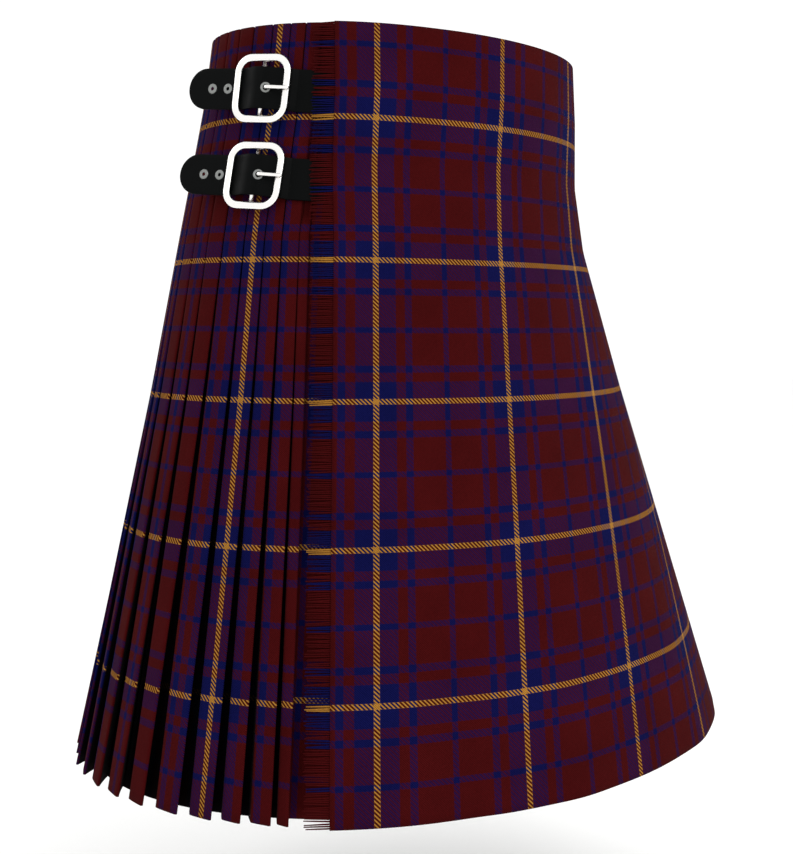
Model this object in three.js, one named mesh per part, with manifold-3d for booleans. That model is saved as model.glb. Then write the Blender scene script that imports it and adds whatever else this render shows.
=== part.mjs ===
// A Scottish kilt, filled out as it is worn: hollow, open at the waist and at the hem.
// Millimetres, +Z up. The wearer faces -Y, so the right hip, where the kilt fastens, is at -X.
// The origin is the middle of the waist, level with the cloth at ORIGIN_LEVEL at the right hip.
//
// Every place on the cloth has three coordinates:
//   turn   the way round, as a fraction of the girth, from the middle of the front towards
//          the wearer's right hip (0.25), the middle of the back (0.5) and the left hip (0.75)
//   level  the distance down the cloth from the top edge
//   out    the distance outwards from the innermost face of the pleats

import * as THREE from "three";
import { mergeVertices } from "three/addons/utils/BufferGeometryUtils.js";
import Module from "manifold-3d";

const wasm = await Module();
wasm.setup();

// ---- Driving dimensions ----

const DROP = 615; // top edge to hem, down the cloth: a 24 in kilt
const FELL = 170; // the pleats are stitched down to here
const ORIGIN_LEVEL = 50; // by the upper strap
const BACK_RISE = 8; // the top edge stands this much higher at the back
const GAP = 0.4; // air between pieces that meet

// The garment's outline: half its width and depth, and how far its middle lies towards the back.
const SECTIONS = [
  { level: 0, halfWidth: 180, halfDepth: 136, back: 1 },
  { level: 50, halfWidth: 186, halfDepth: 140, back: 4 },
  { level: 110, halfWidth: 194, halfDepth: 146, back: 12 },
  { level: FELL, halfWidth: 206, halfDepth: 155, back: 14 },
  { level: 300, halfWidth: 234, halfDepth: 178, back: 5 },
  { level: DROP, halfWidth: 307, halfDepth: 243, back: -16 },
];

const PLEATS = 40;
const PLEAT_CLOTH = 1;
const SECOND_FOLD = 0.1745; // turn of the second pleat's fold edge
const LAST_FOLD = 0.7905; // turn of the over apron's folded edge on the left hip
const FIRST_REVEAL = 0.45; // the first pleat shows this much of a full pleat
const REVEALS = [0.79, 0.79, 1, 1.16, 1, 1.07, 1.13, 0.96, 1.08, 1.02]; // uneven widths, in turn
const STACK = 3 * PLEAT_CLOTH + 2 * GAP; // height of a fold edge where it is stitched down
const HEM_LIFT = 17; // height of a fold edge at the hem
const SHOULDER = 2 * (PLEAT_CLOTH + GAP); // room under a pleat's face where it turns in to the next
const HEM_SHOULDER = 12;
const TOP_KNEE = 0.8; // where its face turns in, as part of a pleat
const HEM_KNEE = 0.68;
const TOP_UNDERLAP = 0.3; // how far a fold's hidden layers run back under it, as part of a pleat
const HEM_UNDERLAP = 0.6;

const APRON_CLOTH = 1.5;
const APRON_STEPS = 26;
const EDGE_RAISE = 3.6; // the over apron's free edge lies on the straps
const EDGE_RAMP = 80; // and rises to them over this length
const UNDER_EDGE = -0.185; // turn of the under apron's free edge
const UNDER_STEPS = 20;
const FRINGE_REACH = 18;
const FRINGE_THICK = 1;

// Turn of the fringe's tips: the free edge leans, and is farther back at the waist.
const FRINGE_TIPS = [
  { level: 0, turn: 0.182 },
  { level: FELL, turn: 0.1665 },
  { level: DROP, turn: 0.1615 },
];

const STRAP = { width: 33, thick: 2.2, tip: -71, rise: 0.065 };
const HOLES = { radius: 2.9, places: [6.3, -33, -48] };
const CHAPE = { width: 26, thick: 1.7, length: 42, slot: 5 };
const FRAME = { width: 52, height: 55, bar: 6, corner: 15, thick: 3, seat: 5.3 };
const CENTRE_BAR = { radius: 1.75, seat: 4.4 };
const TONGUE = { radius: 1.6, ring: 3.9, width: 3.2 };

// The strap's underside in the buckle: under the side bars and over the middle one.
const STRAP_ROUTE = [
  { along: 27, lift: 0.8 },
  { along: 19, lift: 2.6 },
  { along: 12, lift: 5.4 },
  { along: 5, lift: 8.8 },
  { along: -5, lift: 8.8 },
  { along: -12, lift: 5.4 },
  { along: -19, lift: 2.6 },
  { along: -27, lift: 2.6 },
];

// Where each buckle's middle sits, how far off its strap's sewn end is, and which way that lies:
// from is 1 towards the fringe and -1 towards the over apron's folded edge.
const FASTENINGS = [
  { name: "upper", turn: 0.2152, level: 52, sewn: 54, from: 1 },
  { name: "lower", turn: 0.2105, level: 121.5, sewn: 56, from: 1 },
  { name: "left", turn: 0.748, level: 54, sewn: 41, from: -1 },
];

const COLOURS = {
  red: 0x4b0d0d,
  crossing: 0x2d0c23,
  leather: 0x0a0a0b,
  metal: 0xdfe1e4,
};

// ---- Places on the cloth ----

const mix = THREE.MathUtils.lerp;
const clamp = THREE.MathUtils.clamp;

// Reads a column of a table at a level, along straight lines between its rows.
function read(table, column, level) {
  const next = Math.max(1, table.findIndex((row) => row.level >= level));
  const high = table[next];
  const low = table[next - 1];
  return mix(low[column], high[column], (level - low.level) / (high.level - low.level));
}

const RING_STEPS = 720;
const rings = new Map();

// The ring at a level, with the distance round it at each step of its angle.
function ringAt(level) {
  if (rings.has(level)) return rings.get(level);
  const width = read(SECTIONS, "halfWidth", level);
  const depth = read(SECTIONS, "halfDepth", level);
  const back = read(SECTIONS, "back", level);
  const distances = [0];
  for (let i = 1; i <= RING_STEPS; i++) {
    const angle = ((i - 0.5) / RING_STEPS) * 2 * Math.PI;
    const speed = Math.hypot(width * Math.cos(angle), depth * Math.sin(angle));
    distances.push(distances[i - 1] + (speed * 2 * Math.PI) / RING_STEPS);
  }
  const ring = { width, depth, back, distances, girth: distances[RING_STEPS] };
  rings.set(level, ring);
  return ring;
}

// The point of a ring at a turn, with the outward direction there.
function ringPoint(turn, level) {
  const ring = ringAt(level);
  const whole = turn - Math.floor(turn);
  const wanted = whole * ring.girth;
  let low = 0;
  let high = RING_STEPS;
  while (high - low > 1) {
    const middle = (low + high) >> 1;
    if (ring.distances[middle] <= wanted) low = middle;
    else high = middle;
  }
  const part = (wanted - ring.distances[low]) / (ring.distances[high] - ring.distances[low]);
  const angle = ((low + part) / RING_STEPS) * 2 * Math.PI;
  const outward = new THREE.Vector3(-Math.sin(angle) / ring.width, -Math.cos(angle) / ring.depth, 0);
  return {
    x: -ring.width * Math.sin(angle),
    y: ring.back - ring.depth * Math.cos(angle),
    outward: outward.normalize(),
  };
}

// The fall from the top edge to a level. Cloth keeps its length, so it falls less where it flares.
function fall(turn, level) {
  let total = 0;
  let above = ringPoint(turn, 0);
  let done = 0;
  for (const row of SECTIONS.slice(1)) {
    if (done >= level) break;
    const next = Math.min(row.level, level);
    const here = ringPoint(turn, next);
    const sideways = Math.hypot(here.x - above.x, here.y - above.y);
    total += Math.sqrt((next - done) ** 2 - sideways ** 2);
    above = here;
    done = next;
  }
  return total;
}

const ORIGIN_DROP = fall(0.25, ORIGIN_LEVEL);

function clothPoint(turn, level, out = 0) {
  const at = ringPoint(turn, level);
  const rise = (BACK_RISE * (1 - Math.cos(2 * Math.PI * turn))) / 2;
  const risen = rise * Math.max(0, 1 - level / FELL);
  const z = ORIGIN_DROP + risen - fall(turn, level);
  return new THREE.Vector3(at.x, at.y, z).addScaledVector(at.outward, out);
}

// ---- Solids ----

// Turns a triangle list round if it faces inwards.
function facingOut(points, triangles) {
  let volume = 0;
  for (const [a, b, c] of triangles) {
    volume += points[a].dot(new THREE.Vector3().crossVectors(points[b], points[c]));
  }
  if (volume >= 0) return triangles;
  return triangles.map(([a, b, c]) => [a, c, b]);
}

// A closed solid through loops of points. cap(loop) gives the triangles that close an end.
function loft(loops, cap) {
  const count = loops[0].length;
  const points = loops.flat();
  const triangles = [];
  for (let row = 0; row < loops.length - 1; row++) {
    for (let i = 0; i < count; i++) {
      const a = row * count + i;
      const b = row * count + ((i + 1) % count);
      triangles.push([a, a + count, b], [b, a + count, b + count]);
    }
  }
  const last = (loops.length - 1) * count;
  for (const [a, b, c] of cap(loops[0])) triangles.push([a, b, c]);
  for (const [a, b, c] of cap(loops[loops.length - 1])) {
    triangles.push([last + a, last + c, last + b]);
  }
  const geometry = new THREE.BufferGeometry().setFromPoints(points);
  geometry.setIndex(facingOut(points, triangles).flat());
  return geometry;
}

// A cloth solid: section(level) lists [turn, out] pairs round its wall.
function clothSolid(levels, section) {
  const loops = levels.map((level) =>
    section(level).map(([turn, out]) => clothPoint(turn, level, out)),
  );
  const fromAbove = (loop) => loop.map((point) => new THREE.Vector2(point.x, point.y));
  return loft(loops, (loop) => THREE.ShapeUtils.triangulateShape(fromAbove(loop), []));
}

function solid(geometry) {
  const bare = geometry.clone();
  bare.deleteAttribute("normal");
  bare.deleteAttribute("uv");
  const merged = mergeVertices(bare, 1e-4);
  const mesh = new wasm.Mesh({
    numProp: 3,
    vertProperties: new Float32Array(merged.attributes.position.array),
    triVerts: new Uint32Array(merged.index.array),
  });
  return new wasm.Manifold(mesh);
}

function geometryOf(manifold) {
  const mesh = manifold.getMesh();
  const geometry = new THREE.BufferGeometry();
  geometry.setAttribute("position", new THREE.BufferAttribute(mesh.vertProperties, 3));
  geometry.setIndex(new THREE.BufferAttribute(mesh.triVerts, 1));
  return geometry;
}

const RED_CLOTH = { color: COLOURS.red, roughness: 0.92, metalness: 0 };
const CROSSED_CLOTH = { color: COLOURS.crossing, roughness: 0.92, metalness: 0 };
const LEATHER = { color: COLOURS.leather, roughness: 0.5, metalness: 0 };
const METAL = { color: COLOURS.metal, roughness: 0.25, metalness: 0.9 };

const kilt = new THREE.Group();

function addPiece(name, geometry, look, parent = kilt) {
  const mesh = new THREE.Mesh(geometry, new THREE.MeshStandardMaterial(look));
  mesh.name = name;
  parent.add(mesh);
  return mesh;
}

// ---- Pleats ----

// How far a fold has opened: 0 down to the fell, 1 at the hem.
function openness(level) {
  return clamp((level - FELL) / (DROP - FELL), 0, 1);
}

function foldLift(level) {
  return mix(STACK, HEM_LIFT, openness(level));
}

// Total width of the pleats from the second on, up to a fold, in average pleats.
function widthTo(number) {
  let total = 0;
  for (let i = 2; i < number; i++) total += REVEALS[(i - 2) % REVEALS.length];
  return total;
}

const PITCH = (LAST_FOLD - SECOND_FOLD) / widthTo(PLEATS + 1);

// Turn of a pleat's fold edge. Number PLEATS + 1 is the over apron's folded edge.
function foldTurn(number) {
  if (number === 1) return SECOND_FOLD - FIRST_REVEAL * PITCH;
  return SECOND_FOLD + widthTo(number) * PITCH;
}

// How far a fold's hidden layers run back under it, as a turn.
function underlap(number, level) {
  const reveal = number > PLEATS ? PITCH : foldTurn(number + 1) - foldTurn(number);
  return reveal * mix(TOP_UNDERLAP, HEM_UNDERLAP, openness(level));
}

// The end of a fold: its blunt edge and the layer that runs back under it, from outside inwards.
function foldEnd(number, level, lift, cloth) {
  const turn = foldTurn(number);
  const back = turn + underlap(number, level);
  const slit = 1.5 / ringAt(level).girth;
  return [
    [turn, lift],
    [turn, lift - 2 * cloth - GAP],
    [back, PLEAT_CLOTH + GAP],
    [back, 2 * PLEAT_CLOTH + GAP],
    [turn + slit, lift - cloth - GAP / 2],
  ];
}

// One knife pleat: its face, its fold edge, the layer under the fold, and the layer that runs
// on under the next pleat.
function pleatSection(number, level) {
  const step = 1 / ringAt(level).girth;
  const shoulder = mix(SHOULDER, HEM_SHOULDER, openness(level));
  const end = foldTurn(number + 1);
  const knee = mix(foldTurn(number), end, mix(TOP_KNEE, HEM_KNEE, openness(level)));
  const foot = end - step;
  const tail = end + underlap(number + 1, level);
  const lift = foldLift(level);
  return [
    [tail, PLEAT_CLOTH],
    [foot, PLEAT_CLOTH],
    [knee, shoulder + PLEAT_CLOTH],
    ...foldEnd(number, level, lift, PLEAT_CLOTH),
    [knee, shoulder],
    [foot, 0],
    [tail, 0],
  ];
}

const CLOTH_LEVELS = [0, 50, 110, FELL, 300, 455, DROP];

for (let number = 1; number <= PLEATS; number++) {
  const name = `pleat_${String(number).padStart(2, "0")}`;
  const geometry = clothSolid(CLOTH_LEVELS, (level) => pleatSection(number, level));
  addPiece(name, geometry, number % 2 ? RED_CLOTH : CROSSED_CLOTH);
}

// ---- Aprons and fringe ----

function fringeRoot(level) {
  return read(FRINGE_TIPS, "turn", level) - FRINGE_REACH / ringAt(level).girth;
}

// The over apron's inside face stands just proud of the pleats, and higher along its free edge.
function apronOut(turn, level) {
  const toEdge = (1 + fringeRoot(level) - turn) * ringAt(level).girth;
  return foldLift(level) + GAP + EDGE_RAISE * clamp(1 - toEdge / EDGE_RAMP, 0, 1);
}

function overApronSection(level) {
  const fold = foldTurn(PLEATS + 1);
  const root = 1 + fringeRoot(level);
  const turns = [];
  for (let i = APRON_STEPS; i > 0; i--) {
    turns.push(mix(fold, root, i / APRON_STEPS));
  }
  const lift = apronOut(fold, level) + APRON_CLOTH;
  return [
    ...turns.map((turn) => [turn, apronOut(turn, level) + APRON_CLOTH]),
    ...foldEnd(PLEATS + 1, level, lift, APRON_CLOTH),
    ...turns.reverse().map((turn) => [turn, apronOut(turn, level)]),
  ];
}

// The under apron runs on from the first pleat's hidden layer, and at the left hip it lies inside
// the last pleat.
function underApronSection(level) {
  const start = foldTurn(1) + underlap(1, level);
  const turns = [];
  for (let i = 0; i <= UNDER_STEPS; i++) {
    turns.push(mix(start, UNDER_EDGE, i / UNDER_STEPS));
  }
  const inside = (turn) => -(PLEAT_CLOTH + GAP) * clamp(-turn / 0.1, 0, 1);
  return [
    ...turns.map((turn) => [turn, inside(turn) + PLEAT_CLOTH]),
    ...turns.reverse().map((turn) => [turn, inside(turn)]),
  ];
}

function fringeSection(level) {
  const root = fringeRoot(level) + GAP / ringAt(level).girth;
  const tips = read(FRINGE_TIPS, "turn", level);
  const out = apronOut(1 + fringeRoot(level), level);
  return [
    [tips, out + FRINGE_THICK],
    [root, out + FRINGE_THICK],
    [root, out],
    [tips, out],
  ];
}

addPiece("over_apron", clothSolid(CLOTH_LEVELS, overApronSection), RED_CLOTH);
addPiece("under_apron", clothSolid(CLOTH_LEVELS, underApronSection), CROSSED_CLOTH);
addPiece("apron_fringe", clothSolid(CLOTH_LEVELS, fringeSection), RED_CLOTH);

// ---- Straps and buckles ----

// The buckle's own frame: x towards the strap's sewn end, y up or down the cloth, z outwards.
function fasteningFrame({ turn, level, from }) {
  const girth = ringAt(level).girth;
  const reach = 10;
  const lift = foldLift(level);
  const origin = clothPoint(turn, level, lift);
  const along = clothPoint(turn - (from * reach) / girth, level + STRAP.rise * reach, lift);
  const behind = clothPoint(turn + (from * reach) / girth, level - STRAP.rise * reach, lift);
  const above = clothPoint(turn, level - reach, lift);
  const below = clothPoint(turn, level + reach, lift);
  const x = along.sub(behind).normalize();
  const up = above.sub(below).multiplyScalar(from);
  const z = new THREE.Vector3().crossVectors(x, up).normalize();
  const y = new THREE.Vector3().crossVectors(z, x);
  const group = new THREE.Group();
  group.position.copy(origin);
  group.quaternion.setFromRotationMatrix(new THREE.Matrix4().makeBasis(x, y, z));
  group.updateMatrix();
  return group;
}

// The strap's half width: full, then round to its tip.
function strapHalf(along) {
  const radius = STRAP.width / 2;
  const past = STRAP.tip + radius - along;
  return past <= 0 ? radius : Math.sqrt(Math.max(radius ** 2 - past ** 2, 1));
}

// A point of the strap in the buckle's frame: on the cloth near its sewn end, and straight past it.
function strapPoint(fastening, frame, along, side, lift) {
  const last = STRAP_ROUTE[0].along;
  if (along <= last) return new THREE.Vector3(along, side, lift);
  const girth = ringAt(fastening.level).girth;
  const turn = fastening.turn - (fastening.from * along) / girth;
  const level = fastening.level + STRAP.rise * along - side * fastening.from;
  const out = foldLift(level) + lift;
  return clothPoint(turn, level, out).applyMatrix4(frame.matrix.clone().invert());
}

function strapGeometry(fastening, frame) {
  const radius = STRAP.width / 2;
  const sewn = [0, 0.5, 1].map((part) => ({ along: mix(fastening.sewn, 37, part), lift: 0.8 }));
  const straight = STRAP_ROUTE[STRAP_ROUTE.length - 1].lift;
  const free = [-48, STRAP.tip + radius].map((along) => ({ along, lift: straight }));
  const round = [30, 55, 75, 90].map((degrees) => ({
    along: STRAP.tip + radius * (1 - Math.sin(THREE.MathUtils.degToRad(degrees))),
    lift: straight,
  }));
  const rows = [...sewn, ...STRAP_ROUTE, ...free, ...round];
  const loops = rows.map(({ along, lift }) => {
    const half = strapHalf(along);
    return [
      strapPoint(fastening, frame, along, -half, lift),
      strapPoint(fastening, frame, along, half, lift),
      strapPoint(fastening, frame, along, half, lift + STRAP.thick),
      strapPoint(fastening, frame, along, -half, lift + STRAP.thick),
    ];
  });
  const square = () => [
    [0, 1, 2],
    [0, 2, 3],
  ];
  let strap = solid(loft(loops, square));
  for (const along of HOLES.places) {
    const drill = new THREE.CylinderGeometry(HOLES.radius, HOLES.radius, 30, 12);
    drill.rotateX(Math.PI / 2).translate(along, 0, 5);
    strap = strap.subtract(solid(drill));
  }
  return geometryOf(strap);
}

// A rounded rectangle about the origin, as a shape or as the hole in one.
function roundedRectangle(path, width, height, corner) {
  const x = width / 2 - corner;
  const y = height / 2 - corner;
  path.moveTo(-x, -y - corner);
  path.lineTo(x, -y - corner);
  path.absarc(x, -y, corner, -Math.PI / 2, 0, false);
  path.absarc(x, y, corner, 0, Math.PI / 2, false);
  path.absarc(-x, y, corner, Math.PI / 2, Math.PI, false);
  path.absarc(-x, -y, corner, Math.PI, 1.5 * Math.PI, false);
  return path;
}

// The rounded frame with its middle bar, which sits lower and under the strap.
function frameGeometry() {
  const edge = 0.7;
  const shape = roundedRectangle(
    new THREE.Shape(),
    FRAME.width - 2 * edge,
    FRAME.height - 2 * edge,
    FRAME.corner - edge,
  );
  shape.holes.push(
    roundedRectangle(
      new THREE.Path(),
      FRAME.width - 2 * FRAME.bar + 2 * edge,
      FRAME.height - 2 * FRAME.bar + 2 * edge,
      FRAME.corner - FRAME.bar + edge,
    ),
  );
  const ring = new THREE.ExtrudeGeometry(shape, {
    depth: FRAME.thick - 2 * edge,
    bevelThickness: edge,
    bevelSize: edge,
    bevelSegments: 1,
    curveSegments: 5,
  }).translate(0, 0, FRAME.seat + edge);
  const barLength = FRAME.height - FRAME.bar;
  const bar = new THREE.CylinderGeometry(CENTRE_BAR.radius, CENTRE_BAR.radius, barLength, 12);
  bar.translate(0, 0, CENTRE_BAR.seat);
  return geometryOf(solid(ring).add(solid(bar)));
}

// The chape: a leather tab folded round the middle bar, with a slot for the tongue.
function chapeGeometry() {
  const inner = CENTRE_BAR.radius + GAP;
  const outer = inner + CHAPE.thick;
  const seat = CENTRE_BAR.seat;
  const shape = new THREE.Shape();
  shape.moveTo(-CHAPE.length, GAP);
  shape.lineTo(-8, GAP);
  shape.lineTo(0, seat - outer);
  shape.absarc(0, seat, outer, -Math.PI / 2, Math.PI / 2, false);
  shape.lineTo(-7, seat + 0.4);
  shape.lineTo(-7, seat - 1.2);
  shape.lineTo(-2, seat + inner);
  shape.lineTo(0, seat + inner);
  shape.absarc(0, seat, inner, Math.PI / 2, -Math.PI / 2, true);
  shape.lineTo(-8, GAP + CHAPE.thick);
  shape.lineTo(-CHAPE.length, GAP + CHAPE.thick);
  shape.closePath();
  const tab = new THREE.ExtrudeGeometry(shape, {
    depth: CHAPE.width,
    bevelEnabled: false,
    curveSegments: 6,
  });
  tab.translate(0, 0, -CHAPE.width / 2).rotateX(Math.PI / 2);
  const slot = new THREE.BoxGeometry(12, CHAPE.slot, 12).translate(0.3, 0, seat);
  return geometryOf(solid(tab).subtract(solid(slot)));
}

// The tongue: a ring on the middle bar and a prong through the strap on to the side bar.
function tongueGeometry() {
  const seat = CENTRE_BAR.seat;
  const shape = new THREE.Shape().absarc(0, 0, TONGUE.ring, 0, 2 * Math.PI, false);
  shape.holes.push(new THREE.Path().absarc(0, 0, CENTRE_BAR.radius + GAP, 0, 2 * Math.PI, true));
  const ring = new THREE.ExtrudeGeometry(shape, {
    depth: TONGUE.width,
    bevelEnabled: false,
    curveSegments: 8,
  });
  ring.translate(0, 0, -TONGUE.width / 2).rotateX(Math.PI / 2).translate(0, 0, seat);
  const onBar = FRAME.seat + FRAME.thick + GAP + TONGUE.radius;
  const route = new THREE.CatmullRomCurve3([
    new THREE.Vector3(3, 0, seat + 1.2),
    new THREE.Vector3(5.6, 0, seat + 4.4),
    new THREE.Vector3(7.5, 0, onBar + 1.8),
    new THREE.Vector3(13, 0, onBar + 1.2),
    new THREE.Vector3(FRAME.width / 2 + 1.5, 0, onBar),
  ]);
  const section = new THREE.Shape().absarc(0, 0, TONGUE.radius, 0, 2 * Math.PI, false);
  const prong = new THREE.ExtrudeGeometry(section, {
    extrudePath: route,
    steps: 12,
    curveSegments: 8,
    bevelEnabled: false,
  });
  return geometryOf(solid(ring).add(solid(prong)));
}

for (const fastening of FASTENINGS) {
  const frame = fasteningFrame(fastening);
  kilt.add(frame);
  addPiece(`strap_${fastening.name}`, strapGeometry(fastening, frame), LEATHER, frame);
  addPiece(`chape_${fastening.name}`, chapeGeometry(), LEATHER, frame);
  addPiece(`buckle_${fastening.name}`, frameGeometry(), METAL, frame);
  addPiece(`tongue_${fastening.name}`, tongueGeometry(), METAL, frame);
}

export default kilt;
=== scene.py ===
"""A Scottish kilt, filled out as it is worn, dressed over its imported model.

Lengths are in millimetres in the garment's own sizes and in metres in Blender. Every place on the
cloth has a turn (the way round, from the middle of the front towards the wearer's right hip), a
level (the distance down the cloth) and an out (the distance outwards from the pleats' inmost face).
"""

import logging
import math
import random
from dataclasses import dataclass, field
from enum import Enum
from typing import Callable, Optional, Sequence

import bmesh
import bpy
import numpy as np
from mathutils import Matrix, Vector


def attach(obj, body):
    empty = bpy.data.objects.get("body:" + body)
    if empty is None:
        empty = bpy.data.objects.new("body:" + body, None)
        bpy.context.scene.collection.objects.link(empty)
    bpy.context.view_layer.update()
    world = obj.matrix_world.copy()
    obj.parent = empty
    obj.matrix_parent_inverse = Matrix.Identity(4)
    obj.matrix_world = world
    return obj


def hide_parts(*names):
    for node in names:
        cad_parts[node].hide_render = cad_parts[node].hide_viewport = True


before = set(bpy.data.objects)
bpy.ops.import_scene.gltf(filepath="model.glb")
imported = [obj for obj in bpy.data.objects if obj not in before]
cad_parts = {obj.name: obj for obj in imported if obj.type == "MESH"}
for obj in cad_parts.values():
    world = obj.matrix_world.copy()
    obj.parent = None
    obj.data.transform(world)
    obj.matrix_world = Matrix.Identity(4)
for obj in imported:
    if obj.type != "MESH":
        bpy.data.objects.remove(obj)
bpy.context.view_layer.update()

log = logging.getLogger("kilt")

MM = 0.001
BODY = "root"
CLOTH_MAP = "ClothMap"  # the cloth's own map: millimetres along the weft, millimetres down the warp
PAINTED_FOLD_SHADE = "PaintedFoldShade"  # how deep in a fold the cloth lies, which the tartan turns into painted shade


class Slot(Enum):
    """Names for the pieces' material slots."""

    TARTAN = "tartan"
    FRINGE = "fringe"
    LEATHER = "strap_leather"
    METAL = "buckle_metal"


# ---- The garment's form ----


@dataclass(frozen=True)
class Section:
    """The outline of the garment at one level."""

    level: float
    half_width: float
    half_depth: float
    back: float


@dataclass(frozen=True)
class Ring:
    """A section's ellipse with the distance round it at each step of its angle."""

    width: float
    depth: float
    back: float
    distances: np.ndarray

    @property
    def girth(self) -> float:
        """The whole way round."""
        return float(self.distances[-1])


@dataclass
class KiltForm:
    """The sizes that every piece of cloth follows."""

    sections: tuple[Section, ...] = (
        Section(0, 180, 136, 1),
        Section(50, 186, 140, 4),
        Section(110, 194, 146, 12),
        Section(170, 206, 155, 14),
        Section(300, 234, 178, 5),
        Section(615, 307, 243, -16),
    )
    drop: float = 615
    fell: float = 170
    origin_level: float = 50
    back_rise: float = 8
    gap: float = 0.4
    pleats: int = 40
    pleat_cloth: float = 1
    second_fold: float = 0.1745
    last_fold: float = 0.7905
    first_reveal: float = 0.45
    reveals: tuple[float, ...] = (0.79, 0.79, 1, 1.16, 1, 1.07, 1.13, 0.96, 1.08, 1.02)
    stack: float = 3.8
    hem_lift: float = 17
    shoulder: float = 2.8
    hem_shoulder: float = 12
    top_knee: float = 0.9
    hem_knee: float = 0.68
    top_underlap: float = 0.3
    hem_underlap: float = 0.6
    apron_cloth: float = 1.5
    edge_raise: float = 3.6
    edge_ramp: float = 80
    under_edge: float = -0.185
    fringe_reach: float = 18
    fringe_tips: tuple[tuple[float, float], ...] = ((0, 0.182), (170, 0.1665), (615, 0.1615))
    yellow_level: float = 74  # the first yellow cross stripe's level
    rings: dict[float, Ring] = field(default_factory=dict)

    def __post_init__(self) -> None:
        """Works out how far below the top edge the origin lies."""
        self.origin_drop = float(self.fall(np.array([0.25]), self.origin_level)[0])

    def ring(self, level: float) -> Ring:
        """The ring at a level.

        Args:
            level: distance down the cloth.

        Returns:
            The ring, kept for the next call.
        """
        level = float(level)
        if level not in self.rings:
            rows = [row.level for row in self.sections]
            width, depth, back = (
                float(np.interp(level, rows, [getattr(row, name) for row in self.sections]))
                for name in ("half_width", "half_depth", "back")
            )
            angles = (np.arange(720) + 0.5) / 720 * 2 * math.pi
            speed = np.hypot(width * np.cos(angles), depth * np.sin(angles))
            distances = np.concatenate(([0.0], np.cumsum(speed) * 2 * math.pi / 720))
            self.rings[level] = Ring(width, depth, back, distances)
        return self.rings[level]

    def ring_points(self, turns: np.ndarray, level: float) -> tuple[np.ndarray, np.ndarray]:
        """Points round a ring and the outward directions there.

        Args:
            turns: the ways round.
            level: distance down the cloth.

        Returns:
            The points and the unit directions, each two columns, x and y.
        """
        ring = self.ring(level)
        wanted = (turns - np.floor(turns)) * ring.girth
        angle = np.interp(wanted, ring.distances, np.linspace(0, 2 * math.pi, 721))
        points = np.stack((-ring.width * np.sin(angle), ring.back - ring.depth * np.cos(angle)), 1)
        outward = np.stack((-np.sin(angle) / ring.width, -np.cos(angle) / ring.depth), 1)
        return points, outward / np.linalg.norm(outward, axis=1, keepdims=True)

    def fall(self, turns: np.ndarray, level: float) -> np.ndarray:
        """The fall from the top edge: cloth keeps its length, so it falls less where it flares.

        Args:
            turns: the ways round.
            level: distance down the cloth.

        Returns:
            The fall at each turn.
        """
        total, done = np.zeros(len(turns)), 0.0
        above = self.ring_points(turns, 0)[0]
        for row in self.sections[1:]:
            if done >= level:
                break
            following = min(row.level, level)
            here = self.ring_points(turns, following)[0]
            sideways = np.linalg.norm(here - above, axis=1)
            total = total + np.sqrt((following - done) ** 2 - sideways**2)
            above, done = here, following
        return total

    def points(self, turns: np.ndarray, level: float, outs: np.ndarray) -> np.ndarray:
        """Places on the cloth at one level.

        Args:
            turns: the ways round.
            level: distance down the cloth.
            outs: distances outwards.

        Returns:
            The places in metres, three columns.
        """
        flat, outward = self.ring_points(turns, level)
        rise = self.back_rise * (1 - np.cos(2 * math.pi * turns)) / 2
        height = self.origin_drop + rise * max(0.0, 1 - level / self.fell) - self.fall(turns, level)
        flat = flat + outward * np.asarray(outs)[:, None]
        return np.column_stack((flat, height)) * MM

    def point(self, turn: float, level: float, out: float) -> Vector:
        """One place on the cloth, in metres."""
        return Vector(self.points(np.array([turn]), level, np.array([out]))[0])

    def openness(self, level: float) -> float:
        """How far a fold has opened: 0 down to the fell, 1 at the hem."""
        return min(max((level - self.fell) / (self.drop - self.fell), 0.0), 1.0)

    def fold_lift(self, level: float) -> float:
        """How far out a fold edge stands at a level."""
        return mix(self.stack, self.hem_lift, self.openness(level))

    def width_to(self, number: int) -> float:
        """The pleats' width from the second up to a fold, in average pleats."""
        return sum(self.reveals[i % len(self.reveals)] for i in range(number - 2))

    def fold_turn(self, number: int) -> float:
        """The turn of a pleat's fold edge; one past the last is the over apron's folded edge."""
        pitch = (self.last_fold - self.second_fold) / self.width_to(self.pleats + 1)
        if number == 1:
            return self.second_fold - self.first_reveal * pitch
        return self.second_fold + self.width_to(number) * pitch

    def underlap(self, number: int, level: float) -> float:
        """How far a fold's hidden layers run back under it, as a turn."""
        pitch = (self.last_fold - self.second_fold) / self.width_to(self.pleats + 1)
        if number <= self.pleats:
            pitch = self.fold_turn(number + 1) - self.fold_turn(number)
        return pitch * mix(self.top_underlap, self.hem_underlap, self.openness(level))

    def tips(self, level: float) -> float:
        """The turn of the fringe's tips at a level."""
        return float(np.interp(level, *zip(*self.fringe_tips)))

    def root(self, level: float) -> float:
        """The turn of the over apron's free edge, where the fringe starts."""
        return self.tips(level) - self.fringe_reach / self.ring(level).girth

    def apron_out(self, turns: np.ndarray, level: float) -> np.ndarray:
        """How far out the over apron's inside face stands: proud of the pleats and the straps."""
        to_edge = (1 + self.root(level) - turns) * self.ring(level).girth
        ramp = np.clip(1 - to_edge / self.edge_ramp, 0, 1)
        return self.fold_lift(level) + self.gap + self.edge_raise * ramp


def mix(low: float, high: float, part: float) -> float:
    """A value part of the way from low to high."""
    return low + (high - low) * part


def smooth(values: np.ndarray) -> np.ndarray:
    """Softens the bends in a run of values, leaving its ends."""
    result = values.copy()
    result[1:-1] = (values[:-2] + 2 * values[1:-1] + values[2:]) / 4
    return result


# ---- Finishes ----


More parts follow.
